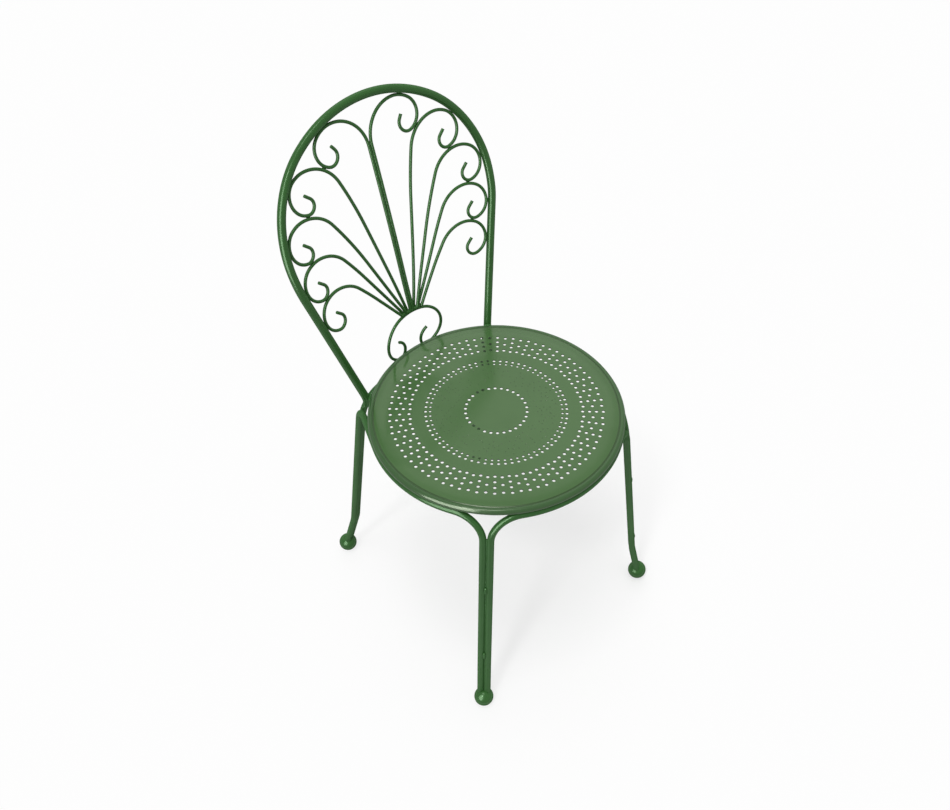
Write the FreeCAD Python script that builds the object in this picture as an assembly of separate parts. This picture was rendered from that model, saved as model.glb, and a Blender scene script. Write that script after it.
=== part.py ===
# Garden chair of welded and painted steel. A round perforated seat stands on four looped bars
# with ball feet, and a hooped back holds a fan of ten bent rods over one wide scroll.
import FreeCAD, Part

import math
import os

from FreeCAD import Vector

# All lengths are in millimetres. The pieces are modelled about the middle of the seat's top
# face, with the chair facing -Y and +Z up, and at the end they are moved so that the origin
# is on the floor below the middle of the whole chair. Left is the side of -X.

# Seat
seat_height = 435.0
seat_radius = 200.3
sheet = 1.2
rim_bead_radius = 5.5
rim_bead_drop = 0.1
crease_depth = 0.9
crease_width = 1.6
rim_margin = 22.3

# Holes in the seat: a ring in the middle, a double ring, and a wide band of radial rows that
# have four and three holes by turns
hole_start = 1.5
middle_ring_radius = 48.0
middle_hole = 5.0
middle_count = 30
double_ring_margin = 31.2
double_ring_pitch = 7.0
double_inner_hole = 3.8
double_outer_hole = 4.6
double_count = 68
band_margin = 12.0
band_depth = 32.0
band_hole = 5.1
band_pairs = 40
short_row_inset = 1.5

# Bars of the legs. Reaches are measured outwards from the middle line of the rim's bead, and
# bearings in degrees from straight sideways, forwards for the front legs and backwards for
# the rear ones
bar_radius = 5.5
bar_gap = 0.3
rail_gap = 0.3
front_bend_radius = 46.7
rear_bend_radius = 34.0
knee_height = 86.0
knee_radius = 60.0
front_corner_reach = 6.9
front_corner_bearing = 43.61
front_knee_reach = 48.9
front_knee_bearing = 43.15
front_foot_reach = 65.3
front_foot_bearing = 43.25
rear_corner_reach = 20.5
rear_corner_bearing = 50.2
rear_knee_reach = 68.5
rear_knee_bearing = 56.12
rear_foot_reach = 86.9
rear_foot_bearing = 54.24

# Ball feet
ball_radius = 16.0
ball_flat_radius = 5.5
bar_end_lift = 2.0
bore_clearance = 0.15

# Surface that the back lies in: raked, gently hollowed from top to bottom and bowed round
# the sitter, with the bow dying out towards its top
back_set_in = 17.4
back_rake_share = 0.21
back_hollow_radius = 3930.0
back_bow_radius = 521.0
back_flat_height = 466.0

# Tube of the hoop. Its toes stand by the rear legs, turned backwards past the legs' corners
hoop_tube_radius = 6.4
hoop_wall = 1.5
hoop_half_width = 189.8
hoop_widest = 248.0
hoop_waist_radius = 205.0
hoop_shoulder_radius = 158.0
hoop_shoulder_turn = 56.0
toe_turn = 1.25
toe_bend_depth = 8.74
toe_depth = 22.0
toe_bend_radius = 55.0
toe_gap = 0.3

# Rods of the fan, with headings in degrees clockwise from straight up
rod_radius = 2.5
rod_set_back = 1.4
touch_gap = 0.2
scroll_count = 5
stem_pitch = 4.3
stem_stagger = 2.0
stagger_height = 140.0
bow_radius = 600.0
bow_turns = [0, 7.4, 8.3, 4.6, 3.7]
shoulder_radius = 55.0
crown_radius = 43.2
crown_end = 118.7
side_radius = 27.6
side_end = 260.0
curl_radius = 11.6
curl_end = 408.0
tip_length = 10.4
top_shoulder_radius = 51.8
top_crown_radius = 44.0
top_crown_end = 129.9
top_side_radius = 25.7
top_side_end = 251.8
top_curl_radius = 13.2
top_curl_end = 396.0
top_tip_length = 7.0
head_start_shares = [(0.28, 0.955), (0.62, 0.855), (0.76, 0.71), (0.74, 0.565), (0.66, 0.43)]

# Wide scroll under the fan
base_top = 73.3
base_bottom = 15.6
base_forward = 1.4
base_crown_radius = 84.0
base_crown_end = 104.7
base_side_radius = 45.3
base_side_end = 238.2
base_curl_radius = 10.8
base_curl_end = 342.3
base_tip_radius = 25.2
base_tip_end = 420.0

# Weld beads, as half lengths along and across the seam
tack_half_length = 7.0
tack_half_width = 2.7
upper_tack_height = 271.0
lower_tack_height = 116.0
rail_weld_half_length = 9.0
rail_weld_half_width = 3.0
scroll_weld_half_length = 3.4
scroll_weld_half_width = 1.6
stem_weld_half_width = 22.0
stem_weld_half_height = 3.6
rim_weld_half_length = 4.2
rim_weld_half_width = 2.2
toe_weld_half_length = 7.0
toe_weld_half_width = 3.4

rail_weld_bearings = [-75.0, -15.0, 25.0, 84.0]

overrun = 3.0
quarter = 90.0
full_turn = 360.0
settle_steps = 12
straight_share = 1e-5
longest_span = 220.0

up = Vector(0, 0, 1)
middle = Vector(0, 0, 0)
across = Vector(1, 0, 0)
rearward = Vector(0, 1, 0)

flat_radius = seat_radius - rim_margin
band_outer_radius = flat_radius - band_margin
band_inner_radius = band_outer_radius - band_depth
double_ring_radius = band_inner_radius - double_ring_margin
bead_ring_radius = seat_radius - rim_bead_radius
bead_level = -(rim_bead_radius + rim_bead_drop)
rail_level = bead_level - rim_bead_radius - bar_radius - rail_gap
ball_centre_height = math.sqrt(ball_radius**2 - ball_flat_radius**2)
floor_level = -seat_height
ball_level = floor_level + ball_centre_height
knee_level = floor_level + knee_height


# Turns a horizontal direction by degrees about the upright axis.
def turned(angle):
    return Vector(math.cos(math.radians(angle)), math.sin(math.radians(angle)), 0)


def unit(vector):
    return vector / vector.Length


def mirrored(shape):
    return shape.mirror(middle, across)


# Half revolved outline about the upright axis, spun all the way round.
def spun(edges):
    return Part.Face(Part.Wire(edges)).revolve(middle, up, full_turn)


# Solid round bar along a wire, from a ring square to the wire's first end.
def swept(path, radius):
    first = path.OrderedEdges[0]
    start = path.OrderedVertexes[0].Point
    ends = (first.FirstParameter, first.LastParameter)
    nearest = min(ends, key=lambda end: first.valueAt(end).distanceToPoint(start))
    ring = Part.Wire(Part.Circle(start, first.tangentAt(nearest), radius).toShape())
    return path.makePipeShell([ring], True, False)


# Bend between two straight runs: the edge of the arc and its two ends.
def corner_arc(before, corner, after, radius):
    inward = unit(before - corner)
    outward = unit(after - corner)
    half_angle = inward.getAngle(outward) / 2
    reach = radius / math.tan(half_angle)
    start = corner + inward * reach
    end = corner + outward * reach
    centre = corner + unit(inward + outward) * (radius / math.sin(half_angle))
    crest = centre + unit(corner - centre) * radius
    return Part.Arc(start, crest, end).toShape(), start, end


# Edges through a list of corners, each rounded by its radius, with straight runs between.
def bent_edges(points, radii):
    edges = []
    start = points[0]
    for i in range(len(radii)):
        arc, arc_start, arc_end = corner_arc(points[i], points[i + 1], points[i + 2], radii[i])
        edges.append(Part.LineSegment(start, arc_start).toShape())
        edges.append(arc)
        start = arc_end
    edges.append(Part.LineSegment(start, points[-1]).toShape())
    return edges


# Arc through two points that leaves the first towards a control point midway between, or a
# straight run where the three are in line.
def control_arc(start, control, end):
    chord = (end - start).Length
    if control.distanceToLine(start, end - start) < chord * straight_share:
        return Part.LineSegment(start, end).toShape()
    weight = chord / 2 / (control - start).Length
    crest = (start + control * (2 * weight) + end) / (2 * (1 + weight))
    return Part.Arc(start, crest, end).toShape()


# Two tangent arcs from one point and direction to another.
def biarc(start, start_way, end, end_way):
    reach = end - start
    both = start_way + end_way
    slack = 2 * (1 - start_way.dot(end_way))
    along = reach.dot(both)
    arm = reach.dot(reach) / (along + math.sqrt(along**2 + slack * reach.dot(reach)))
    first = start + start_way * arm
    second = end - end_way * arm
    joint = (first + second) / 2
    return [control_arc(start, first, joint), control_arc(joint, second, end)]


# A bent rod is described flat, in the plane of X and Z, as a start, a heading and a list of
# steps. Each step has a length and a turn in degrees, clockwise when positive.
def run(length):
    return (length, 0.0)


def bend(radius, turn):
    return (radius * math.radians(abs(turn)), turn)


def along_step(x, z, heading, step, share):
    length, turn = step
    angle = math.radians(turn) * share
    chord = length * share
    if turn:
        chord = 2 * length / math.radians(turn) * math.sin(angle / 2)
    way = math.radians(heading) + angle / 2
    return x + chord * math.sin(way), z + chord * math.cos(way), heading + turn * share


# Points and headings along a bent rod, close enough for a pair of arcs between neighbours.
def rod_stations(x, z, heading, steps):
    stations = [(x, z, heading)]
    for step in steps:
        parts = max(1, math.ceil(abs(step[1]) / (quarter / 2)), math.ceil(step[0] / longest_span))
        for i in range(parts):
            stations.append(along_step(x, z, heading, step, (i + 1) / parts))
        x, z, heading = stations[-1]
    return stations


def flat_depth(x, z):
    return 0.0, 0.0, 0.0


# Depth of the back's surface and its slopes along X and Z.
def back_depth(x, z):
    fade = 1 - z / back_flat_height
    depth = seat_radius - back_set_in + back_rake_share * z + z**2 / (2 * back_hollow_radius)
    depth -= x**2 / (2 * back_bow_radius) * fade
    slope_x = -x / back_bow_radius * fade
    slope_z = back_rake_share + z / back_hollow_radius + x**2 / (2 * back_bow_radius * back_flat_height)
    return depth, slope_x, slope_z


# Rods lie a little behind the middle of the hoop's tube, and the lower ends of neighbouring
# stems stand one before the other.
def stem_depth(side):
    def depth_at(x, z):
        depth, slope_x, slope_z = back_depth(x, z)
        left = max(0.0, 1 - (z - base_top) / (stagger_height - base_top))
        shift = rod_set_back + side * stem_stagger * left**2
        slope = -2 * side * stem_stagger * left / (stagger_height - base_top)
        return depth + shift, slope_x, slope_z + slope

    return depth_at


# The wide scroll follows the rim's outer side and leans towards the fan at its top.
def base_depth(x, z):
    stand_off = seat_radius + rod_radius + touch_gap
    round_depth = math.sqrt(stand_off**2 - x**2)
    height = base_top + base_bottom
    rise = (z + base_bottom) / height
    return round_depth - base_forward * rise**2, -x / round_depth, -2 * base_forward * rise / height


def lifted(station, depth_at):
    x, z, heading = station
    depth, slope_x, slope_z = depth_at(x, z)
    step_x = math.sin(math.radians(heading))
    step_z = math.cos(math.radians(heading))
    way = Vector(step_x, slope_x * step_x + slope_z * step_z, step_z)
    return Vector(x, depth, z), unit(way)


# Edges of a bent rod laid in a surface, in pairs of tangent arcs.
def laid_edges(stations, depth_at, first_way=None):
    edges = []
    point, way = lifted(stations[0], depth_at)
    way = first_way or way
    for station in stations[1:]:
        next_point, next_way = lifted(station, depth_at)
        edges += biarc(point, way, next_point, next_way)
        point, way = next_point, next_way
    return edges


def laid_rod(stations, depth_at):
    return swept(Part.Wire(laid_edges(stations, depth_at)), rod_radius)


def flat_wire(stations):
    return Part.Wire(laid_edges(stations, flat_depth))


# Weld bead along its seam, a short round bar with domed ends.
def weld_bead(centre, seam, half_length, half_width):
    way = unit(seam)
    start = centre - way * (half_length - half_width)
    end = centre + way * (half_length - half_width)
    bar = Part.makeCylinder(half_width, (end - start).Length, start, way)
    return bar.fuse([Part.makeSphere(half_width, start), Part.makeSphere(half_width, end)])


# Weld beads of one side with the pieces they join cut away, and their mirrors. Of each bead
# the largest rest is kept.
def trimmed_pairs(beads, cutters):
    solids = trimmed(beads, cutters).Solids
    return Part.Compound(solids + [mirrored(solid) for solid in solids])


def trimmed(beads, cutters):
    solids = []
    for bead in beads:
        rest = bead
        for cutter in cutters:
            if rest.BoundBox.intersect(cutter.BoundBox):
                rest = rest.cut(cutter)
        solids.append(max(rest.Solids, key=lambda solid: solid.Volume))
    return Part.Compound(solids)


# Holes of one ring as wires below the sheet, with the ring's start in degrees.
def hole_ring(ring_radius, diameter, count, start):
    wires = []
    for i in range(count):
        centre = turned(start + full_turn * i / count) * ring_radius - up * sheet
        wires.append(Part.Wire(Part.Circle(centre, up, diameter / 2).toShape()))
    return wires


# Radial rows of holes, all with the same number of holes between two radii.
def hole_rows(inner, outer, holes_in_row, start):
    wires = []
    for i in range(holes_in_row):
        radius = inner + (outer - inner) * i / (holes_in_row - 1)
        wires += hole_ring(radius, band_hole, band_pairs, start)
    return wires


# Perforated sheet with a crease and a rolled bead at its rim.
def make_seat_pan():
    holes = hole_ring(middle_ring_radius, middle_hole, middle_count, hole_start)
    holes += hole_ring(double_ring_radius, double_inner_hole, double_count, hole_start)
    double_outer_radius = double_ring_radius + double_ring_pitch
    holes += hole_ring(double_outer_radius, double_outer_hole, double_count, hole_start)
    holes += hole_rows(band_inner_radius, band_outer_radius, 4, hole_start)
    half_pitch = full_turn / band_pairs / 2
    short_inner = band_inner_radius + short_row_inset
    short_outer = band_outer_radius - short_row_inset
    holes += hole_rows(short_inner, short_outer, 3, hole_start + half_pitch)
    edge = Part.Wire(Part.Circle(-up * sheet, up, flat_radius).toShape())
    sheet_disc = Part.Face([edge] + holes).extrude(up * sheet)

    upper_chord = -crease_depth - bead_level
    lower_chord = -(crease_depth + sheet) - bead_level
    upper_radius = bead_ring_radius - math.sqrt(rim_bead_radius**2 - upper_chord**2)
    lower_radius = bead_ring_radius - math.sqrt(rim_bead_radius**2 - lower_chord**2)
    points = [
        Vector(lower_radius, 0, -(crease_depth + sheet)),
        Vector(lower_radius - crease_width, 0, -sheet),
        Vector(flat_radius, 0, -sheet),
        Vector(flat_radius, 0, 0),
        Vector(upper_radius - crease_width, 0, 0),
        Vector(upper_radius, 0, -crease_depth),
    ]
    edges = [Part.LineSegment(a, b).toShape() for a, b in zip(points, points[1:])]
    outermost = Vector(seat_radius, 0, bead_level)
    edges.append(Part.Arc(points[-1], outermost, points[0]).toShape())
    return sheet_disc.fuse(spun(edges)).removeSplitter()


# Mirror of a place for the legs of the left side.
def on_side(place, side):
    return Vector(place.x * side, place.y, place.z)


# Direction between the two bars of a leg, towards the chair's side.
def bar_shift(corner, foot):
    outward = unit(foot - corner)
    shift = outward.cross(up)
    if shift.x * corner.x < 0:
        shift = -shift
    return shift


# Corner, knee and foot of one bar, where beside is 1 for the bar towards the chair's side.
def bar_points(corner, knee, foot, beside):
    shift = bar_shift(corner, foot) * (beside * (bar_radius + bar_gap / 2))
    top = corner + shift + up * rail_level
    bend_point = knee + shift + up * knee_level
    ball_point = foot + shift + up * ball_level
    tail = unit(bend_point - ball_point)
    return [top, bend_point, ball_point + tail * (bar_end_lift / tail.z)]


# Point where a straight rail from a corner meets the round of the rim, on one turning side.
def rail_touch(corner, turn_way):
    flat = Vector(corner.x, corner.y, 0)
    spread = math.degrees(math.acos(bead_ring_radius / flat.Length)) * turn_way
    bearing = math.degrees(math.atan2(flat.y, flat.x)) + spread
    return turned(bearing) * bead_ring_radius + up * corner.z, bearing


# One looped bar: foot, knee, leg, bend, rail under the rim, and down again.
def make_loop(first, last, first_bend, last_bend):
    start_touch, start_bearing = rail_touch(first[0], 1)
    end_touch, end_bearing = rail_touch(last[0], -1)
    half_way = ((end_bearing - start_bearing) % full_turn) / 2
    crest = turned(start_bearing + half_way) * bead_ring_radius + up * rail_level
    down = bent_edges([first[2], first[1], first[0], start_touch], [knee_radius, first_bend])
    rail = Part.Arc(start_touch, crest, end_touch).toShape()
    back = bent_edges([end_touch, last[0], last[1], last[2]], [last_bend, knee_radius])
    return swept(Part.Wire(down + [rail] + back), bar_radius)


front_leg = (
    turned(-front_corner_bearing) * (bead_ring_radius + front_corner_reach),
    turned(-front_knee_bearing) * (bead_ring_radius + front_knee_reach),
    turned(-front_foot_bearing) * (bead_ring_radius + front_foot_reach),
)
rear_leg = (
    turned(rear_corner_bearing) * (bead_ring_radius + rear_corner_reach),
    turned(rear_knee_bearing) * (bead_ring_radius + rear_knee_reach),
    turned(rear_foot_bearing) * (bead_ring_radius + rear_foot_reach),
)


def leg_bar(leg, side, beside):
    return bar_points(*[on_side(place, side) for place in leg], beside)


def make_loops():
    front, rear = front_bend_radius, rear_bend_radius
    return {
        "leg_loop_front": make_loop(leg_bar(front_leg, -1, -1), leg_bar(front_leg, 1, -1), front, front),
        "leg_loop_right": make_loop(leg_bar(front_leg, 1, 1), leg_bar(rear_leg, 1, 1), front, rear),
        "leg_loop_rear": make_loop(leg_bar(rear_leg, 1, -1), leg_bar(rear_leg, -1, -1), rear, rear),
        "leg_loop_left": make_loop(leg_bar(rear_leg, -1, 1), leg_bar(front_leg, -1, 1), rear, front),
    }


# Ball with a small flat below and two blind bores for the ends of the bars.
def make_foot_ball(leg, side):
    foot = on_side(leg[2], side) + up * ball_level
    ball = Part.makeSphere(ball_radius, foot)
    floor_cut = Part.makeCylinder(ball_radius, ball_radius, foot - up * ball_centre_height, -up)
    ball = ball.cut(floor_cut)
    for beside in (-1, 1):
        points = leg_bar(leg, side, beside)
        rise = unit(points[1] - points[2])
        seat = points[2] - rise * bore_clearance
        bore = Part.makeCylinder(bar_radius + bore_clearance, ball_radius + overrun, seat, rise)
        ball = ball.cut(bore)
    return ball


# Hoop: outline of one half from its toe to the middle of its crown. The straight run above the
# toe leans so that it meets the round of the waist without a corner.
toe_stand_off = seat_radius + hoop_tube_radius + toe_gap
toe_foot = turned(rear_corner_bearing + toe_turn) * toe_stand_off
toe_end = toe_foot - up * toe_depth
toe_corner = toe_foot - up * toe_bend_depth
waist_inward = toe_foot.x - (hoop_half_width - hoop_waist_radius)
waist_rise = hoop_widest + toe_bend_depth
waist_reach = math.sqrt(waist_inward**2 + waist_rise**2)
hoop_lean = math.degrees(math.atan2(waist_rise, waist_inward) - math.acos(hoop_waist_radius / waist_reach))
waist_start = Vector(
    hoop_half_width - hoop_waist_radius * (1 - math.cos(math.radians(hoop_lean))),
    0,
    hoop_widest - hoop_waist_radius * math.sin(math.radians(hoop_lean)),
)
shoulder_rest = hoop_shoulder_radius * (1 - math.cos(math.radians(hoop_shoulder_turn)))
hoop_crown_radius = (hoop_half_width - shoulder_rest) / math.cos(math.radians(hoop_shoulder_turn))
hoop_curve = [
    bend(hoop_waist_radius, -hoop_lean),
    bend(hoop_shoulder_radius, -hoop_shoulder_turn),
    bend(hoop_crown_radius, hoop_shoulder_turn - quarter),
]
hoop_stations = rod_stations(waist_start.x, waist_start.z, hoop_lean, hoop_curve)


def hoop_edges():
    waist, waist_way = lifted(hoop_stations[0], back_depth)
    first_way = unit(waist - toe_corner)
    edges = bent_edges([toe_end, toe_corner, waist], [toe_bend_radius])
    edges += laid_edges(hoop_stations, back_depth, first_way)
    return edges


def make_back_hoop():
    half = hoop_edges()
    other_half = [mirrored(edge) for edge in half]
    path = Part.Wire(Part.__sortEdges__(half + other_half))
    outside = swept(path, hoop_tube_radius)
    inside = swept(path, hoop_tube_radius - hoop_wall)
    return outside.cut(inside)


def flat_hoop():
    toe = Vector(toe_corner.x, 0, toe_corner.z)
    waist = Vector(waist_start.x, 0, waist_start.z)
    straight = Part.LineSegment(toe, waist).toShape()
    return Part.Wire([straight] + laid_edges(hoop_stations, flat_depth))


# Head of a scroll from the top of its arch to the tip of its curl.
def head_steps(index):
    if index == 0:
        return [
            bend(top_crown_radius, top_crown_end - quarter),
            bend(top_side_radius, top_side_end - top_crown_end),
            bend(top_curl_radius, top_curl_end - top_side_end),
            run(top_tip_length),
        ]
    return [
        bend(crown_radius, crown_end - quarter),
        bend(side_radius, side_end - crown_end),
        bend(curl_radius, curl_end - side_end),
        run(tip_length),
    ]


# End of a stem on top of the wide scroll.
def stem_foot(index):
    x = rod_radius + touch_gap / 2 + index * stem_pitch
    sink = base_crown_radius - math.sqrt(base_crown_radius**2 - x**2)
    return x, base_top - sink + 2 * rod_radius + touch_gap


# Stem and shoulder below the top of an arch, for one heading of the stem: the way its foot
# would miss the wanted foot sideways, and the steps.
def stem_steps(index, top_x, top_z, heading):
    foot_x, foot_z = stem_foot(index)
    bow = bend(bow_radius, bow_turns[index])
    shoulder = bend(shoulder_radius, quarter - heading - bow_turns[index])
    bow_x, bow_z, joint = along_step(0, 0, heading, bow, 1)
    shoulder_x, shoulder_z, level = along_step(bow_x, bow_z, joint, shoulder, 1)
    reach_x = top_x - shoulder_x - foot_x
    reach_z = top_z - shoulder_z - foot_z
    way = math.radians(heading)
    miss = reach_x * math.cos(way) - reach_z * math.sin(way)
    straight = reach_x * math.sin(way) + reach_z * math.cos(way)
    return miss, [run(straight), bow, shoulder]


# Whole scroll whose arch has its top at a place. Its stem is straight, then slightly bowed,
# and comes tangent into the shoulder.
def scroll_stations(index, top_x, top_z):
    foot_x, foot_z = stem_foot(index)
    if index == 0:
        steps = [run(top_z - top_shoulder_radius - foot_z), bend(top_shoulder_radius, quarter)]
        return rod_stations(top_x - top_shoulder_radius, foot_z, 0, steps + head_steps(index))
    low, high = 0.0, quarter / 2
    for step in range(2 * settle_steps):
        heading = (low + high) / 2
        miss, steps = stem_steps(index, top_x, top_z, heading)
        if miss > 0:
            low = heading
        else:
            high = heading
    return rod_stations(foot_x, foot_z, heading, steps + head_steps(index))


# Places the five scrolls of a side from the top down. Each head is slid until it rests
# against the inside of the hoop and against the curl of the head above it.
def place_scrolls():
    hoop = flat_hoop()
    to_hoop = math.sqrt((hoop_tube_radius + rod_radius + touch_gap)**2 - rod_set_back**2)
    to_rod = 2 * rod_radius + touch_gap
    placed = []
    for index in range(scroll_count):
        x_share, z_share = head_start_shares[index]
        top_x = x_share * hoop_half_width
        top_z = z_share * (hoop_widest + hoop_shoulder_radius)
        if index == 0:
            top_x = stem_foot(0)[0] + top_shoulder_radius
        for step in range(settle_steps):
            head = flat_wire(rod_stations(top_x, top_z, quarter, head_steps(index)))
            if index == 0:
                top_z += hoop.distToShape(head)[0] - to_hoop
            else:
                top_x += hoop.distToShape(head)[0] - to_hoop
                head = flat_wire(scroll_stations(index, top_x, top_z))
                top_z += placed[-1].distToShape(head)[0] - to_rod
        head_stations = rod_stations(top_x, top_z, quarter, head_steps(index))
        placed.append(flat_wire(head_stations))
        yield scroll_stations(index, top_x, top_z), head_stations


# Wide scroll: one half from the middle of its top to its tip, and its mirror.
def base_stations():
    steps = [
        bend(base_crown_radius, base_crown_end - quarter),
        bend(base_side_radius, base_side_end - base_crown_end),
        bend(base_curl_radius, base_curl_end - base_side_end),
        bend(base_tip_radius, base_tip_end - base_curl_end),
    ]
    return rod_stations(0, base_top, quarter, steps)


def make_base_scroll():
    half = laid_edges(base_stations(), base_depth)
    path = Part.Wire(Part.__sortEdges__([mirrored(edge) for edge in half] + half))
    return swept(path, rod_radius)


# Point between two round pieces where they lie closest, and the way from one to the other.
def touch_point(first, second):
    distance, pairs, info = first.distToShape(second)
    start, end = pairs[0]
    return (start + end) / 2, unit(end - start)


# Beads behind each place where the head of a scroll rests on the hoop or on the next scroll.
def make_touch_welds(first_wires, second_wires, solids):
    beads = []
    for first, second in zip(first_wires, second_wires):
        centre, way = touch_point(first, second)
        seam = way.cross(rearward)
        centre = centre + rearward * (rod_radius * math.sqrt(1 / 2))
        beads.append(weld_bead(centre, seam, scroll_weld_half_length, scroll_weld_half_width))
    return trimmed_pairs(beads, solids)


# Two short tacks in the outer groove of each pair of leg bars.
def make_leg_tacks(bars):
    beads = []
    for leg in (front_leg, rear_leg):
        top = leg[0] + up * rail_level
        knee = leg[1] + up * knee_level
        outward = unit(leg[2] - leg[0])
        for height in (upper_tack_height, lower_tack_height):
            share = (top.z - floor_level - height) / (top.z - knee.z)
            centre = top + (knee - top) * share + outward * (bar_radius / 2 + tack_half_width / 2)
            beads.append(weld_bead(centre, knee - top, tack_half_length, tack_half_width))
    return trimmed_pairs(beads, bars)


# Beads between each rail and the rolled rim above it, on the inner side.
def make_rail_welds(solids):
    contact = Vector(bead_ring_radius - rail_weld_half_width, 0, rail_level + bar_radius + rail_gap / 2)
    beads = []
    for bearing in rail_weld_bearings:
        centre = turned(bearing) * contact.x + up * contact.z
        seam = turned(bearing + quarter)
        beads.append(weld_bead(centre, seam, rail_weld_half_length, rail_weld_half_width))
    return trimmed_pairs(beads, solids)


# One long bead across the gathered feet of the stems.
def make_stem_weld(solids):
    depth = base_depth(0, base_top)[0]
    centre = Vector(0, depth, base_top + rod_radius + touch_gap)
    bead = weld_bead(centre, across, stem_weld_half_width, stem_weld_half_height)
    return trimmed([bead], solids)


# Beads where the wide scroll crosses the rim.
def make_base_welds(base_wire, solids):
    level = Part.LineSegment(Vector(0, 0, bead_level), Vector(seat_radius, 0, bead_level)).toShape()
    crossing = max(base_wire.distToShape(level)[1], key=lambda pair: pair[0].x)[0]
    bearing = math.degrees(math.acos(crossing.x / (seat_radius + rod_radius + touch_gap)))
    centre = turned(bearing) * (seat_radius + touch_gap / 2) + up * bead_level
    bead = weld_bead(centre, turned(bearing + quarter), rim_weld_half_length, rim_weld_half_width)
    return trimmed_pairs([bead], solids)


# Beads between the toes of the hoop and the rim, and below them to the rear bars.
def make_toe_welds(solids):
    way = unit(toe_foot)
    rim_point = way * (seat_radius + toe_gap / 2) + up * bead_level
    rim_bead = weld_bead(rim_point, way.cross(up), toe_weld_half_length, toe_weld_half_width)
    notch_point = toe_end + way * (hoop_tube_radius / 2)
    notch_bead = weld_bead(notch_point, way.cross(up), toe_weld_half_length, toe_weld_half_width)
    return trimmed_pairs([rim_bead, notch_bead], solids)


def make_nodes():
    nodes = {"seat_pan": make_seat_pan()}
    nodes.update(make_loops())
    for leg_name, leg in (("front", front_leg), ("rear", rear_leg)):
        nodes["foot_ball_" + leg_name + "_left"] = make_foot_ball(leg, -1)
        nodes["foot_ball_" + leg_name + "_right"] = make_foot_ball(leg, 1)
    nodes["back_hoop"] = make_back_hoop()
    nodes["base_scroll"] = make_base_scroll()
    wires = []
    heads = []
    for index, (stations, head_stations) in enumerate(place_scrolls()):
        depth_at = stem_depth((-1) ** (index + 1))
        wires.append(Part.Wire(laid_edges(stations, depth_at)))
        heads.append(Part.Wire(laid_edges(head_stations, depth_at)))
        rod = laid_rod(stations, depth_at)
        nodes["scroll_right_" + str(index + 1)] = rod
        nodes["scroll_left_" + str(index + 1)] = mirrored(rod)
    solids = list(nodes.values())
    hoop_wire = Part.Wire(hoop_edges())
    nodes["hoop_scroll_welds"] = make_touch_welds([hoop_wire] * scroll_count, wires, solids)
    nodes["scroll_curl_welds"] = make_touch_welds(heads[:-1], wires[1:], solids)
    nodes["leg_tack_welds"] = make_leg_tacks(solids)
    nodes["rail_rim_welds"] = make_rail_welds(solids)
    nodes["stem_weld"] = make_stem_weld(solids)
    nodes["base_scroll_welds"] = make_base_welds(Part.Wire(laid_edges(base_stations(), flat_depth)), solids)
    nodes["hoop_toe_welds"] = make_toe_welds(solids)
    return nodes


# Moves the origin to the floor below the middle of the chair's overall box.
def set_down(nodes):
    box = Part.Compound(list(nodes.values())).optimalBoundingBox(False)
    shift = Vector(-(box.XMin + box.XMax) / 2, -(box.YMin + box.YMax) / 2, -box.ZMin)
    for shape in nodes.values():
        shape.translate(shift)
    print("seat middle", shift, "overall", box.XLength, box.YLength, box.ZLength)


os.makedirs("parts", exist_ok=True)
nodes = make_nodes()
set_down(nodes)
for name, shape in nodes.items():
    print(name, shape.isValid(), len(shape.Solids), round(shape.Volume))
    shape.exportStep("parts/" + name + ".step")
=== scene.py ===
# Green metal garden chair: paint, weld beads, floor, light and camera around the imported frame
import math

import bpy
import numpy as np
from mathutils import Matrix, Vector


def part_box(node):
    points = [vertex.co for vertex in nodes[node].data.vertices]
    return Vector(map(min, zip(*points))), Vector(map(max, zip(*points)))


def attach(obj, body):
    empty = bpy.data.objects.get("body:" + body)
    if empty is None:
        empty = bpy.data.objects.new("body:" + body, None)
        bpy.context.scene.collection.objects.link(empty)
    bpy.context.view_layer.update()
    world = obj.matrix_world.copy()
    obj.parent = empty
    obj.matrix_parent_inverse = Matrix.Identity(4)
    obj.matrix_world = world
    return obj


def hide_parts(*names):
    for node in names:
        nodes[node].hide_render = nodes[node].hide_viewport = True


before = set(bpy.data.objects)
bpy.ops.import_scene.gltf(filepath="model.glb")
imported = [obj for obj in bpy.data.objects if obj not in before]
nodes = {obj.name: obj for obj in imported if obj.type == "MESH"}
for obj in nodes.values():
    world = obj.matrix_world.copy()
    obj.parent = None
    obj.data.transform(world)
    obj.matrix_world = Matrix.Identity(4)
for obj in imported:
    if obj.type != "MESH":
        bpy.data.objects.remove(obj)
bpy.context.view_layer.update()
print("frame loaded:", len(nodes), "nodes")


# Material whose surface is one Principled shader
def newMaterial(name):
    mat = bpy.data.materials.new(name)
    mat.use_nodes = True
    tree = mat.node_tree
    tree.nodes.clear()
    out = tree.nodes.new("ShaderNodeOutputMaterial")
    bsdf = tree.nodes.new("ShaderNodeBsdfPrincipled")
    tree.links.new(bsdf.outputs[0], out.inputs["Surface"])
    return mat, tree, bsdf


# Node whose inputs each take a value or another node's output
def addNode(tree, kind, inputs=(), **settings):
    node = tree.nodes.new(kind)
    for key, value in settings.items():
        setattr(node, key, value)
    for key, value in dict(inputs).items():
        if isinstance(value, bpy.types.NodeSocket):
            tree.links.new(value, node.inputs[key])
        else:
            node.inputs[key].default_value = value
    return node


# One number worked out from others
def calc(tree, operation, *values):
    return addNode(tree, "ShaderNodeMath", dict(enumerate(values)), operation=operation).outputs[0]


def noise(tree, where, scale, detail=3.0, roughness=0.5):
    inputs = {"Vector": where, "Scale": scale, "Detail": detail, "Roughness": roughness}
    return addNode(tree, "ShaderNodeTexNoise", inputs).outputs["Fac"]


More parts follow.
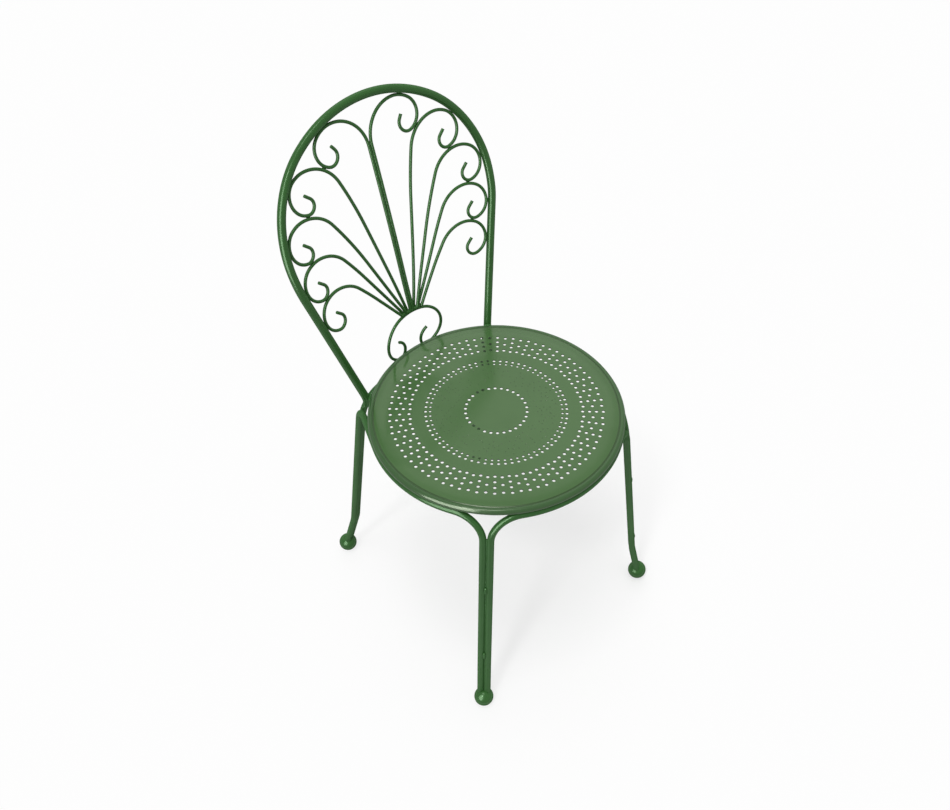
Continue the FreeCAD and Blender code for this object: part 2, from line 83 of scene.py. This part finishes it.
# Value moved from one range to another, clamped at both ends
def ramp(tree, value, low, high, outLow=0.0, outHigh=1.0):
    inputs = {"Value": value, "From Min": low, "From Max": high}
    inputs.update({"To Min": outLow, "To Max": outHigh})
    return addNode(tree, "ShaderNodeMapRange", inputs, clamp=True).outputs[0]


def mixColor(tree, factor, first, second):
    inputs = {0: factor, 6: first, 7: second}
    return addNode(tree, "ShaderNodeMix", inputs, data_type="RGBA").outputs[2]


def bumped(tree, height, distance, normal=None):
    inputs = {"Height": height, "Distance": distance, "Strength": 1.0}
    if normal:
        inputs["Normal"] = normal
    return addNode(tree, "ShaderNodeBump", inputs).outputs[0]


# Scales are in waves per metre and depths in metres; a detail is that of the noise, then its
# roughness; an edge is the noise at which the thing starts and the noise at which it is full
paint = {
    "color": (0.036, 0.126, 0.028, 1),
    "deepColor": (0.027, 0.100, 0.021, 1),
    "paleColor": (0.049, 0.134, 0.041, 1),
    "patchScale": 14.0,  # broad patches of tone
    "patchDetail": (4.0, 0.6),
    "patchEdge": (0.32, 0.68),
    "runScale": 70.0,  # slow waves of the brushed coat
    "runDetail": (2.0, 0.45),
    "runDepth": 0.00004,
    "peelScale": 520.0,  # orange peel
    "peelDetail": (2.0, 0.5),
    "peelDepth": 0.000006,
    "dustScale": 364.0,
    "dustDetail": (3.0, 0.7),
    "dustEdge": (0.60, 0.78),
    "dustShare": 0.3,
    "roughness": (0.20, 0.26),
    "edgeRoughness": 0.85,
    "edgeReach": (0.30, 0.62),  # how far a face turns away before its gloss grows dull
    "specular": 0.30,
    "tint": (0.68, 1.0, 0.65, 1),
}


# Satin coat: green in two tones that drift, fine pale dust, slow waves and orange peel
def makePaint(name, values):
    mat, tree, bsdf = newMaterial(name)
    where = addNode(tree, "ShaderNodeTexCoord").outputs["Object"]
    patch, run, peel, dust = (
        noise(tree, where, values[kind + "Scale"], *values[kind + "Detail"])
        for kind in ("patch", "run", "peel", "dust")
    )
    patch = ramp(tree, patch, *values["patchEdge"])
    tone = mixColor(tree, patch, values["deepColor"], values["color"])
    dust = ramp(tree, dust, *values["dustEdge"], 0.0, values["dustShare"])
    tree.links.new(mixColor(tree, dust, tone, values["paleColor"]), bsdf.inputs["Base Color"])
    low, high = values["roughness"]
    gloss = ramp(tree, patch, 0.0, 1.0, high, low)
    turned = addNode(tree, "ShaderNodeLayerWeight").outputs["Facing"]
    rise = ramp(tree, turned, *values["edgeReach"], 0.0, values["edgeRoughness"] - high)
    tree.links.new(calc(tree, "ADD", gloss, rise), bsdf.inputs["Roughness"])
    bsdf.inputs["Specular IOR Level"].default_value = values["specular"]
    bsdf.inputs["Specular Tint"].default_value = values["tint"]
    normal = bumped(tree, peel, values["peelDepth"], bumped(tree, run, values["runDepth"]))
    tree.links.new(normal, bsdf.inputs["Normal"])
    return mat, tree, bsdf, normal


# Reaches are in metres from the seat's middle
seatPaint = dict(
    paint,
    color=(0.057, 0.135, 0.041, 1),
    deepColor=(0.048, 0.120, 0.034, 1),
    patchScale=8.0,
    runScale=16.0,
    runDepth=0.00008,
    roughness=(0.15, 0.22),
    specular=0.45,
    edgeReach=(0.40, 0.80),
    tint=(0.90, 1.0, 0.80, 1),
    # painted shade: the rim's bead is coloured darker than the flat, as less light falls on it
    rimShadeColor=(0.031, 0.092, 0.025, 1),
    flatReach=0.175,  # edge of the sheet's flat, where its holes are
    # painted shade: one dark colour given to the walls of the holes, the crease and the pricks
    paintedShadeColor=(0.006, 0.020, 0.005, 1),
    wallSlope=(0.3, 0.8),  # upright share of a face's normal, at a full wall and past any
    creaseReach=(0.1900, 0.1928),
    # share of the painted shade in the crease
    creaseShade=0.5,
    prickReach=(0.060, 0.096),  # ring of filled pin pricks
    prickScale=150.0,
    prickSpread=0.9,
    prickSize=0.16,
    prickFloor=0.5,  # share of a prick's size that is at full depth
    prickSkipped=0.6,  # share of the pricks left out
    prickDepth=0.0004,
    # share of the painted shade in the small dents of the pin pricks
    prickShade=0.45,
)


# The sheet's coat is the same one, with painted shade that darkens the rim, the crease and the
# walls of the holes, and a ring of small pin pricks that the coat has filled
def makeSeatPaint():
    mat, tree, bsdf, normal = makePaint("satinPaintOnSheet", seatPaint)
    low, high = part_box("seat_pan")
    middle = ((low + high) / 2).to_2d().to_3d()
    where = addNode(tree, "ShaderNodeTexCoord").outputs["Object"]
    place = addNode(tree, "ShaderNodeMapping", {"Vector": where, "Location": -middle}).outputs[0]
    flatten = {0: place, 1: (1, 1, 0)}
    flat = addNode(tree, "ShaderNodeVectorMath", flatten, operation="MULTIPLY").outputs[0]
    reach = addNode(tree, "ShaderNodeVectorMath", {0: flat}, operation="LENGTH").outputs["Value"]

    inner, outer = seatPaint["prickReach"]
    outside = calc(tree, "GREATER_THAN", reach, inner)
    ring = calc(tree, "MULTIPLY", outside, calc(tree, "LESS_THAN", reach, outer))
    scale, spread, size = (seatPaint["prick" + key] for key in ("Scale", "Spread", "Size"))
    cells = {"Vector": flat, "Scale": scale, "Randomness": spread}
    spots = addNode(tree, "ShaderNodeTexVoronoi", cells, voronoi_dimensions="2D").outputs
    spot = ramp(tree, spots["Distance"], size * seatPaint["prickFloor"], size, 1.0, 0.0)
    draw = addNode(tree, "ShaderNodeSeparateColor", {0: spots["Color"]}).outputs[0]
    chosen = calc(tree, "GREATER_THAN", draw, seatPaint["prickSkipped"])
    prick = calc(tree, "MULTIPLY", calc(tree, "MULTIPLY", spot, ring), chosen)

    # painted shade on the walls of the holes, which lie in shadow
    faceWay = addNode(tree, "ShaderNodeNewGeometry").outputs["True Normal"]
    upright = addNode(tree, "ShaderNodeSeparateXYZ", {0: faceWay}).outputs["Z"]
    steep = ramp(tree, calc(tree, "ABSOLUTE", upright), *seatPaint["wallSlope"], 1.0, 0.0)
    onFlat = calc(tree, "LESS_THAN", reach, seatPaint["flatReach"])
    holeWallShade = calc(tree, "MULTIPLY", steep, onFlat)

    start, end = seatPaint["creaseReach"]
    coat = bsdf.inputs["Base Color"].links[0].from_socket
    # painted shade on the rim, beyond the crease
    onRim = calc(tree, "GREATER_THAN", reach, end)
    coat = mixColor(tree, onRim, coat, seatPaint["rimShadeColor"])
    # painted shade in the crease between the flat and the rim
    crease = calc(tree, "COMPARE", reach, (start + end) / 2, (end - start) / 2)
    # the painted shade of walls, crease and pricks, mixed in as one dark colour
    paintedShadeMask = calc(tree, "MAXIMUM", holeWallShade, calc(tree, "MULTIPLY", crease, seatPaint["creaseShade"]))
    # painted shade in the small dents of the pin pricks
    paintedShadeMask = calc(tree, "MAXIMUM", paintedShadeMask, calc(tree, "MULTIPLY", prick, seatPaint["prickShade"]))
    coat = mixColor(tree, paintedShadeMask, coat, seatPaint["paintedShadeColor"])
    tree.links.new(coat, bsdf.inputs["Base Color"])
    sunk = calc(tree, "SUBTRACT", 1.0, prick)
    normal = bumped(tree, sunk, seatPaint["prickDepth"], normal)
    tree.links.new(normal, bsdf.inputs["Normal"])
    return mat


thickPaint = dict(paint, runScale=260.0, runDepth=0.0001)

barPaint = makePaint("satinPaintOnBars", paint)[0]
weldPaint = makePaint("thickPaintOnWelds", thickPaint)[0]
sheetPaint = makeSeatPaint()


finish = {
    "mergeDistance": 0.00002,
    "softAngle": 38.0,  # degrees between two faces past which their edge is left sharp
    "endAngle": 60.0,  # and past which it is the rim of a cut end
    "endRadius": 0.0007,
    "endSteps": 3,
}


# Joins the loose faces of a piece, rounds the rims of cut ends and keeps other edges sharp
def finishNode(obj, hasEnds):
    obj.data.polygons.foreach_set("use_smooth", np.ones(len(obj.data.polygons), bool))
    obj.modifiers.new("joinFaces", "WELD").merge_threshold = finish["mergeDistance"]
    if hasEnds:
        bevel = obj.modifiers.new("roundEnds", "BEVEL")
        bevel.width = finish["endRadius"]
        bevel.segments = finish["endSteps"]
        bevel.limit_method = "ANGLE"
        bevel.angle_limit = math.radians(finish["endAngle"])
    obj.modifiers.new("keepEdges", "EDGE_SPLIT").split_angle = math.radians(finish["softAngle"])


for name, obj in nodes.items():
    obj.data.materials.clear()
    obj.data.materials.append(sheetPaint if name == "seat_pan" else barPaint)
    if "weld" not in name:
        finishNode(obj, "scroll" in name or name == "back_hoop")
print("frame painted")


# Separate solids of a node, each as an array of its points: points that share a face take the
# lowest of their labels until none changes
def solidsOf(obj):
    mesh = obj.data
    points = np.empty(len(mesh.vertices) * 3, np.float32)
    mesh.vertices.foreach_get("co", points)
    corners = np.empty(len(mesh.loops), np.int32)
    mesh.loops.foreach_get("vertex_index", corners)
    rounded = np.round(points.reshape(-1, 3) / finish["mergeDistance"]).astype(np.int64)
    merged, which = np.unique(rounded, axis=0, return_inverse=True)
    faces = which.reshape(-1)[corners].reshape(-1, 3)
    labels = np.arange(len(merged))
    while True:
        least = labels[faces].min(axis=1)
        spread = labels.copy()
        for corner in range(3):
            np.minimum.at(spread, faces[:, corner], least)
        if (spread == labels).all():
            break
        labels = spread
    return [merged[labels == label] * finish["mergeDistance"] for label in np.unique(labels)]


# Middle, main directions and half lengths of a cloud of points
def reachOf(points):
    centre = points.mean(axis=0)
    ways = np.linalg.svd(points - centre, full_matrices=False)[2]
    along = (points - centre) @ ways.T
    low, high = along.min(axis=0), along.max(axis=0)
    return centre + (low + high) / 2 @ ways, ways, (high - low) / 2


def addObject(name, data):
    obj = bpy.data.objects.new(name, data)
    bpy.context.scene.collection.objects.link(obj)
    return obj


def makeMesh(name, points, faces, mat):
    mesh = bpy.data.meshes.new(name)
    mesh.from_pydata(points.tolist(), [], faces)
    mesh.polygons.foreach_set("use_smooth", np.ones(len(mesh.polygons), bool))
    mesh.materials.append(mat)
    return addObject(name, mesh)


# Faces of a closed tube, numbered on from the points made before it: quads between its rings,
# and at each end a fan to one of the two end points that follow the rings
def closedFaces(made, rings, around):
    start = sum(len(part) for part in made)
    here = start + np.arange(rings * around).reshape(rings, around)
    beside = np.roll(here, -1, axis=1)
    quads = np.stack([here[:-1], here[1:], beside[1:], beside[:-1]], axis=-1).reshape(-1, 4)
    end = start + here.size
    first = np.stack([np.full(around, end), here[0], beside[0]], axis=-1)
    last = np.stack([np.full(around, end + 1), beside[-1], here[-1]], axis=-1)
    return quads.tolist() + first.tolist() + last.tolist()


bead = {
    "around": 20,
    "rings": 13,
    "blunt": 0.6,  # power of the outline: 1 is an ellipse, less has fuller ends
    "ripple": 0.07,  # height as a share of the girth
    "rippleCount": 2.2,  # ripples for each time that the bead is as long as it is wide
    "lump": 0.06,
    "lumpWaves": (2, 3),  # round the bead and along it
}


# Bead over two angles: a drop with a blunt outline, its girth rippled along the seam as the
# pool froze, and lumped a little by slow waves that differ from bead to bead
def beadPoints(centre, ways, halves, number):
    turn = np.linspace(0, 2 * np.pi, bead["around"], endpoint=False)[None, :]
    lean = np.linspace(0, np.pi, bead["rings"] + 2)[1:-1, None]
    ripples = max(1.0, round(bead["rippleCount"] * halves[0] / halves[1]))
    lumpsRound, lumpsAlong = bead["lumpWaves"]
    girth = np.sin(lean) ** bead["blunt"]
    girth = girth * (1 + bead["ripple"] * np.cos(ripples * np.pi * np.cos(lean) + number))
    lump = bead["lump"] * np.sin(lumpsRound * turn + number)
    girth = girth * (1 + lump * np.cos(lumpsAlong * lean + 2 * number))
    rings = (halves[0] * np.cos(lean) + 0 * turn)[..., None] * ways[0]
    rings = rings + (halves[1] * girth * np.cos(turn))[..., None] * ways[1]
    rings = rings + (halves[2] * girth * np.sin(turn))[..., None] * ways[2]
    ends = np.array([halves[0] * ways[0], -halves[0] * ways[0]])
    return centre + np.concatenate([rings.reshape(-1, 3), ends])


# Puts a bead in the place of each solid of a weld node
def dressWelds(name):
    points, faces = [], []
    for number, solid in enumerate(solidsOf(nodes[name])):
        centre, ways, halves = reachOf(solid)
        ways = ways * np.sign(np.linalg.det(ways))  # so that the faces point outwards
        faces += closedFaces(points, bead["rings"], bead["around"])
        points.append(beadPoints(centre, ways, halves, number))
    beadName = name.rpartition("_")[0] + "_beads"
    beads = makeMesh(beadName, np.concatenate(points), faces, weldPaint)
    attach(beads, "root")
    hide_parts(name)


for weldName in sorted(name for name in nodes if "weld" in name):
    dressWelds(weldName)
print("weld beads made")


# Unit directions that lie level, one for each angle
def levelWays(angles):
    return np.stack([np.cos(angles), np.sin(angles), 0 * angles], axis=-1)


gaps = {
    "rim": 0.1948,  # metres from the seat's middle to the middle of its rim's bead
    # corner, knee and foot of each right leg: how far past the rim, and the bearing in degrees;
    # then how far below the corner its upper bend starts
    "legs": [
        ((0.0069, -43.61), (0.0489, -43.15), (0.0653, -43.25), 0.0467),
        ((0.0205, 50.20), (0.0685, 56.12), (0.0869, 54.24), 0.0340),
    ],
    "levels": (0.4181, 0.0860, 0.0150),
    "kneeRadius": 0.060,
    "kneeSteps": 9,
    "past": 0.006,  # how far the coat goes on where the bars part
    "radius": 0.0016,
    "around": 10,
}


# Middle line between the two bars of a leg, rounded at the knee by a parabola
def legLine(places, bend):
    low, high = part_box("seat_pan")
    reaches, bearings = np.array(places).T
    line = (gaps["rim"] + reaches)[:, None] * levelWays(np.radians(bearings))
    line = line + np.array([(low.x + high.x) / 2, (low.y + high.y) / 2, 0])
    line[:, 2] = gaps["levels"]
    corner, knee, foot = line
    rise, drop = corner - knee, foot - knee
    rise, length = rise / np.linalg.norm(rise), np.linalg.norm(rise)
    drop = drop / np.linalg.norm(drop)
    arm = gaps["kneeRadius"] * math.tan((math.pi - math.acos(rise @ drop)) / 2)
    t = np.linspace(0, 1, gaps["kneeSteps"])[:, None]
    curve = knee + (1 - t) ** 2 * arm * drop + t**2 * arm * rise
    return np.vstack([foot, curve, knee + rise * (length - bend + gaps["past"])])


# Coat that has run into the groove between the two bars of each leg and closes it: a thin rod
# carried along each middle line, and its mirror image on the left
def fillLegGaps():
    points, faces = [], []
    spin = np.linspace(0, 2 * np.pi, gaps["around"], endpoint=False)[None, :, None]
    for *places, bend in gaps["legs"]:
        for side in (1, -1):
            line = legLine(places, bend) * np.array([side, 1, 1])
            way = np.gradient(line, axis=0)
            way = way / np.linalg.norm(way, axis=1, keepdims=True)
            first = np.cross(way, (0, 1, 0))
            first = first / np.linalg.norm(first, axis=1, keepdims=True)
            second = np.cross(first, way)
            circles = np.cos(spin) * first[:, None] + np.sin(spin) * second[:, None]
            rings = line[:, None] + gaps["radius"] * circles
            faces += closedFaces(points, len(line), gaps["around"])
            points.append(np.concatenate([rings.reshape(-1, 3), line[[0, -1]]]))
    coat = makeMesh("paint_between_leg_bars", np.concatenate(points), faces, weldPaint)
    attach(coat, "root")


fillLegGaps()
print("leg grooves filled")


holes = {
    # radius of each ring of holes, their diameter and number, and the first one's bearing
    "rings": [(0.048, 0.0050, 30, 1.5), (0.1028, 0.0038, 68, 1.5), (0.1098, 0.0046, 68, 1.5)],
    # the band's rows by turns: innermost and outermost hole, how many, and the first bearing
    "bandRows": [((0.134, 0.166), 4, 1.5), ((0.1355, 0.1645), 3, 6.0)],
    "bandCount": 40,
    "bandDiameter": 0.0051,
    "sides": 16,
    # outline of the lip from the hole's edge: outwards, and up from the sheet's top
    "lip": [
        (0, -0.0001),
        (-0.00005, -0.0004),
        (-0.00005, -0.0017),
        (0.0005, -0.0017),
        (0.0005, -0.0012),
        (0, -0.0012),
    ],
}


# Lips that the punch drew down below the sheet, filled out by the coat: a closed outline spun
# about the middle of each hole
def makeHoleLips():
    rings = list(holes["rings"])
    for (inner, outer), count, first in holes["bandRows"]:
        for radius in np.linspace(inner, outer, count):
            rings.append((radius, holes["bandDiameter"], holes["bandCount"], first))
    low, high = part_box("seat_pan")
    middle = np.array([(low.x + high.x) / 2, (low.y + high.y) / 2, high.z])
    outwards, up = np.array(holes["lip"]).T
    around = levelWays(np.linspace(0, 2 * np.pi, holes["sides"], endpoint=False))
    points = []
    for radius, diameter, number, first in rings:
        lip = around[:, None] * (diameter / 2 + outwards)[:, None]
        lip = lip + up[:, None] * np.array([0, 0, 1])
        bearings = math.radians(first) + np.arange(number) * 2 * np.pi / number
        points.append((middle + radius * levelWays(bearings))[:, None, None] + lip)
    points = np.concatenate(points)
    here = np.arange(points[..., 0].size).reshape(points.shape[:3])
    turned, lower = np.roll(here, -1, axis=1), np.roll(here, -1, axis=2)
    both = np.roll(turned, -1, axis=2)
    faces = np.stack([here, turned, both, lower], axis=-1).reshape(-1, 4)
    lips = makeMesh("punched_hole_lips", points.reshape(-1, 3), faces.tolist(), sheetPaint)
    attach(lips, "root")


makeHoleLips()
print("hole lips made")


studio = {
    "floorSize": 16.0,
    "floorColor": (0.94, 0.94, 0.94, 1),
    "floorBounce": (0.50, 0.50, 0.50, 1),
    "floorLevel": 0.985,
    "cloudScale": 3.0,  # faint clouds on the floor per metre
    "cloudShade": 0.997,
    "glowShare": (0.62, 0.97),  # share of the floor's brightness that shadows don't reach
    "glowReach": (0.21, 0.45),  # metres from the shadow's middle over which it grows
    "shadowMiddle": (0.08, -0.06, 0),
    "skyHigh": 0.60,
    "skyLow": 0.15,
    "skyEdge": (0.30, 0.50),  # sine of the height at which the sky brightens
    "panelWay": (0.451, 0.511, 0.731),  # soft panel behind the chair
    "panelEdge": (27.0, 19.0),  # degrees from its middle
    "panelStrength": 0.9,
    "key": {"strength": 0.85, "angle": 9.0, "tilt": 36.0, "turn": -72.0},
    "top": {"strength": 0.80, "angle": 20.0, "tilt": 8.0, "turn": -80.0},
    # tall soft box at the left, in metres, degrees and watts
    "box": {"place": (-1.60, -0.42, 1.25), "size": (1.15, 2.46), "turn": -70.0, "power": 95.0},
}


# 1 for rays that show a surface: straight, mirrored or through glass
def seenRays(tree):
    path = addNode(tree, "ShaderNodeLightPath").outputs
    seen = calc(tree, "MAXIMUM", path["Is Camera Ray"], path["Is Glossy Ray"])
    return calc(tree, "MAXIMUM", seen, path["Is Transmission Ray"])


# Pale floor: part of its shade is cast light and part an even level, more of it further out,
# so that it stays nearly white; to light that only bounces it is greyer
def makeFloor():
    half = studio["floorSize"] / 2
    corners = np.array([(-half, -half, 0), (half, -half, 0), (half, half, 0), (-half, half, 0)])
    mat, tree, bsdf = newMaterial("paleFloor")
    surface = bsdf.outputs[0].links[0].to_socket
    where = addNode(tree, "ShaderNodeTexCoord").outputs["Object"]
    seen = seenRays(tree)
    worn = tuple(value * studio["cloudShade"] for value in studio["floorColor"][:3]) + (1,)
    pale = mixColor(tree, noise(tree, where, studio["cloudScale"]), studio["floorColor"], worn)
    tree.links.new(mixColor(tree, seen, studio["floorBounce"], pale), bsdf.inputs["Base Color"])
    bsdf.inputs["Roughness"].default_value = 1.0
    bsdf.inputs["Specular IOR Level"].default_value = 0.0
    level = studio["floorLevel"]
    glow = addNode(tree, "ShaderNodeEmission", {"Color": (level, level, level, 1), "Strength": 1.0})
    away = {0: where, 1: studio["shadowMiddle"]}
    reach = addNode(tree, "ShaderNodeVectorMath", away, operation="DISTANCE").outputs["Value"]
    share = ramp(tree, reach, *studio["glowReach"], *studio["glowShare"])
    layers = {0: calc(tree, "MULTIPLY", seen, share), 1: bsdf.outputs[0], 2: glow.outputs[0]}
    tree.links.new(addNode(tree, "ShaderNodeMixShader", layers).outputs[0], surface)
    floor = makeMesh("floor", corners, [(0, 1, 2, 3)], mat)


# Dim sky, brighter overhead, with one round soft panel behind the chair; seen or mirrored it
# is white
def makeSky():
    world = bpy.data.worlds.new("studioSky")
    bpy.context.scene.world = world
    world.use_nodes = True
    tree = world.node_tree
    tree.nodes.clear()
    way = addNode(tree, "ShaderNodeTexCoord").outputs["Generated"]
    height = addNode(tree, "ShaderNodeSeparateXYZ", {0: way}).outputs["Z"]
    dome = ramp(tree, height, *studio["skyEdge"], studio["skyLow"], studio["skyHigh"])
    toPanel = {0: way, 1: studio["panelWay"]}
    closeness = addNode(tree, "ShaderNodeVectorMath", toPanel, operation="DOT_PRODUCT")
    far, near = (math.cos(math.radians(angle)) for angle in studio["panelEdge"])
    panel = ramp(tree, closeness.outputs["Value"], far, near, 0.0, studio["panelStrength"])
    shown = calc(tree, "MULTIPLY", seenRays(tree), studio["floorLevel"])
    strength = calc(tree, "MAXIMUM", calc(tree, "ADD", dome, panel), shown)
    sky = addNode(tree, "ShaderNodeBackground", {"Color": (1, 1, 1, 1), "Strength": strength})
    out = tree.nodes.new("ShaderNodeOutputWorld")
    tree.links.new(sky.outputs[0], out.inputs["Surface"])


def makeSun(name, values):
    lamp = bpy.data.lights.new(name, "SUN")
    lamp.energy = values["strength"]
    lamp.angle = math.radians(values["angle"])
    sun = addObject(name, lamp)
    sun.rotation_euler = (math.radians(values["tilt"]), 0, math.radians(values["turn"]))


# Upright lamp that shows only as a highlight in the gloss
def makeBox(values):
    lamp = bpy.data.lights.new("softBox", "AREA")
    lamp.shape = "RECTANGLE"
    lamp.size, lamp.size_y = values["size"]
    lamp.energy = values["power"]
    box = addObject("softBox", lamp)
    box.location = values["place"]
    box.rotation_euler = (math.radians(90), 0, math.radians(values["turn"]))
    box.visible_camera = False
    box.visible_diffuse = False


view = {
    "place": (-0.77303, -0.87601, 1.62728),
    "heading": -41.3687,  # degrees from +Y, counter-clockwise
    "dip": 46.162,  # degrees below the horizon
    "roll": -0.7514,
    "lens": 40.108,
    "film": 36.0,
    "shift": (0.000526, -0.00105),
}


def makeCamera():
    lens = bpy.data.cameras.new("camera")
    lens.lens = view["lens"]
    lens.sensor_width = view["film"]
    lens.shift_x, lens.shift_y = view["shift"]
    turn = Matrix.Rotation(math.radians(view["heading"]), 4, "Z")
    tilt = Matrix.Rotation(math.radians(90 - view["dip"]), 4, "X")
    roll = Matrix.Rotation(math.radians(view["roll"]), 4, "Z")
    camera = addObject("camera", lens)
    camera.matrix_world = Matrix.Translation(view["place"]) @ turn @ tilt @ roll
    bpy.context.scene.camera = camera


makeFloor()
makeSky()
makeSun("key", studio["key"])
makeSun("top", studio["top"])
makeBox(studio["box"])
makeCamera()
bpy.context.scene.view_settings.view_transform = "Standard"
print("studio ready")
